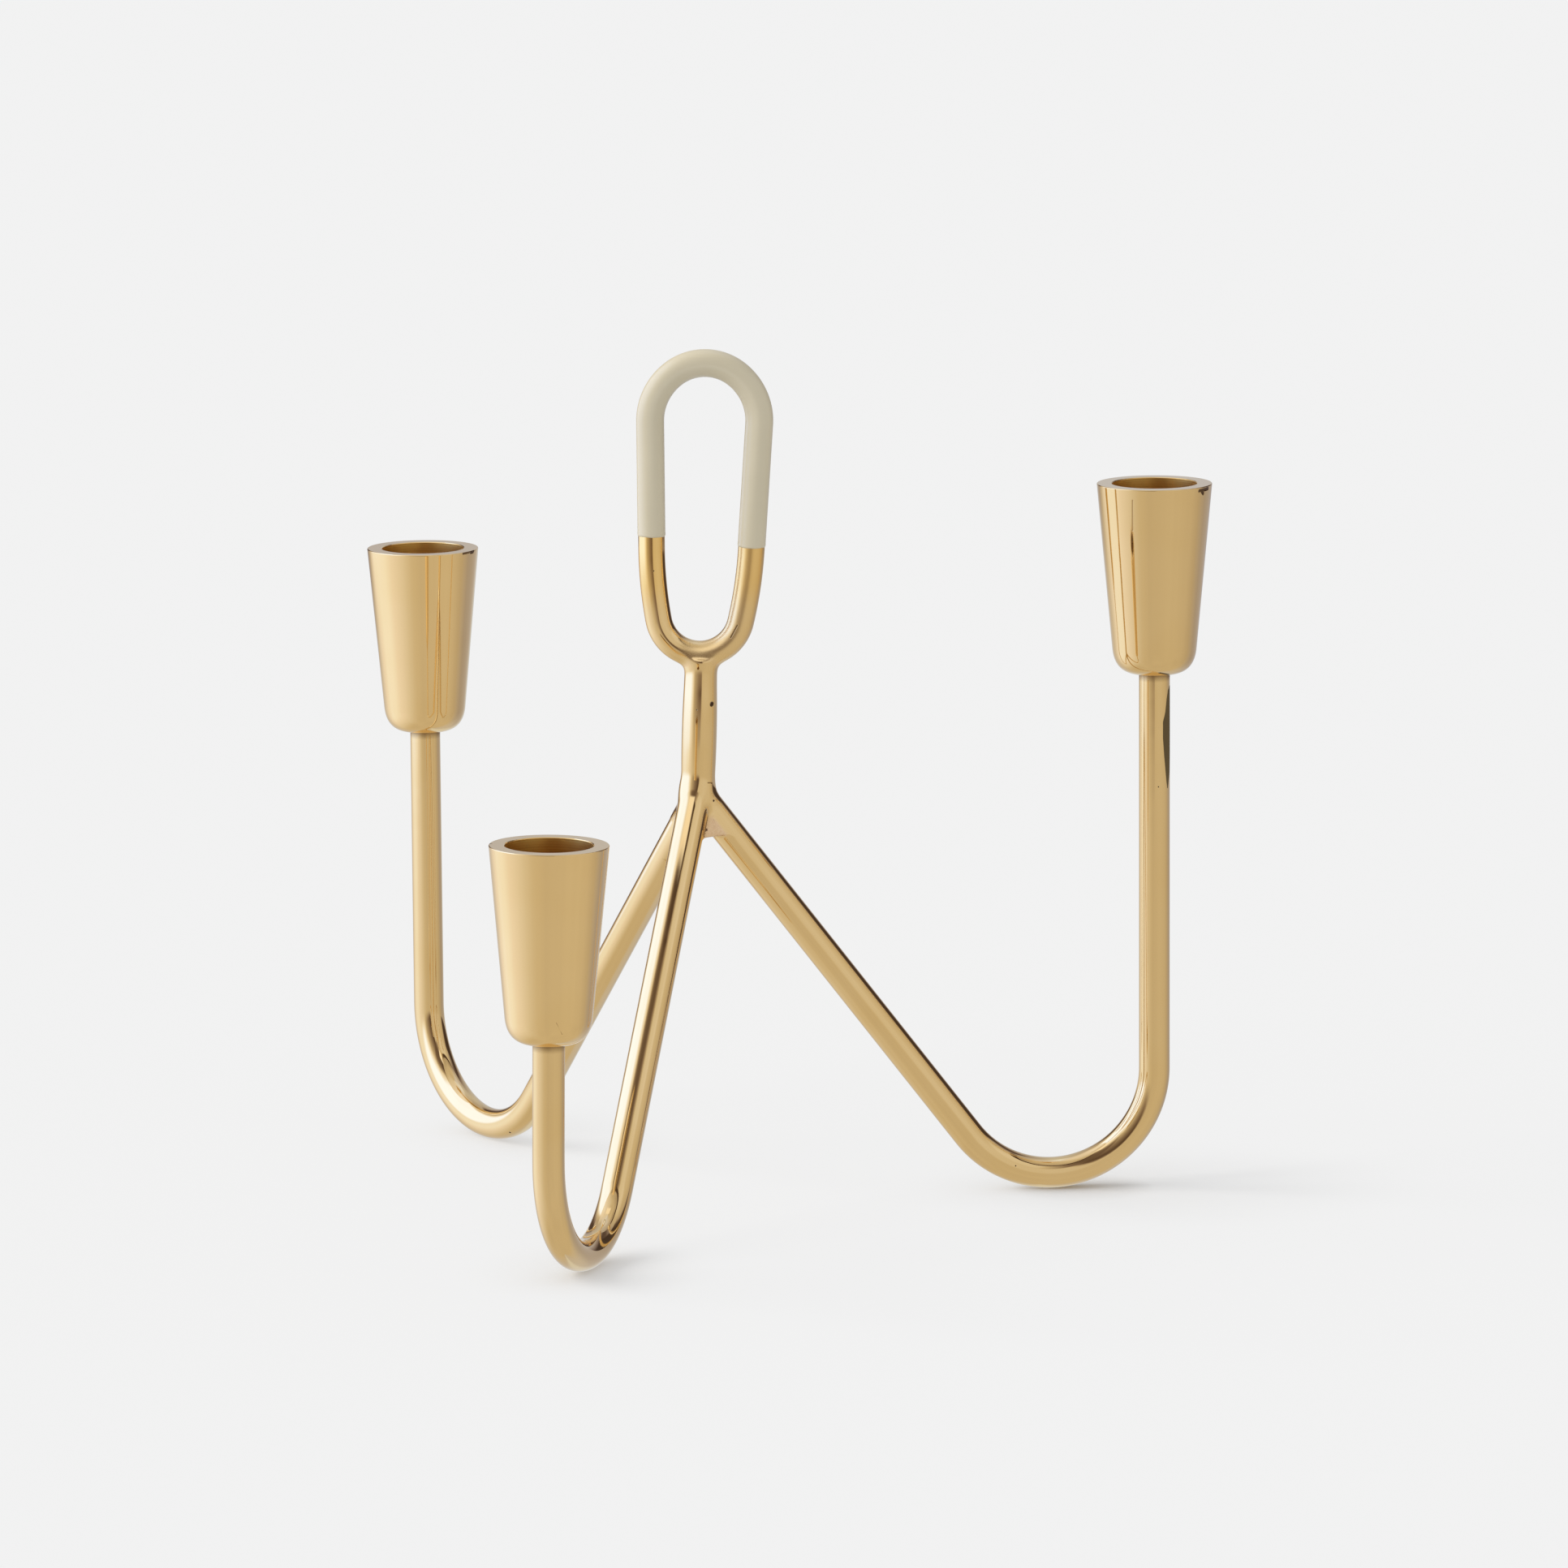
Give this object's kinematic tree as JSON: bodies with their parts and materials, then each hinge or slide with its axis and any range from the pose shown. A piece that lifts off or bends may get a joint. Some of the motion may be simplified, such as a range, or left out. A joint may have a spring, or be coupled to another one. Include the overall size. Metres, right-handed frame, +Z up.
{
  "type": "candelabra",
  "caption": "Polished brass candelabra: bent rod arms rise from a hub to candle cups of stepped heights, with a tall oval coated ring handle above.",
  "frame": {"origin": "middle of the overall box, on the surface that the bends stand on", "axes": "+Z up; -Y is the front, where the lowest candle stands; the highest candle is on the +X side"},
  "size_m": [0.227, 0.246, 0.2265],
  "materials": {
    "rod_brass": "polished rod, fine lengthwise drawing marks",
    "ring_brass": "polished, slightly warmer",
    "cup_brass": "turned and polished, turning marks in the bore",
    "braze": "brazed and hand-finished, a few small pits",
    "stud_brass": "threaded rod, unpolished",
    "ring_coating": "satin off-white dipped coating"
  },
  "bodies": {
    "root": {"handle_ring": "ring_brass", "ring_coating": "ring_coating", "stem": "rod_brass", "arm_high": "rod_brass", "arm_mid": "rod_brass", "arm_low": "rod_brass", "candle_cup_high": "cup_brass", "candle_cup_mid": "cup_brass", "candle_cup_low": "cup_brass", "cup_stud_high": "stud_brass", "cup_stud_mid": "stud_brass", "cup_stud_low": "stud_brass", "hub_braze": "braze", "ring_braze": "braze"}
  },
  "joints": []
}
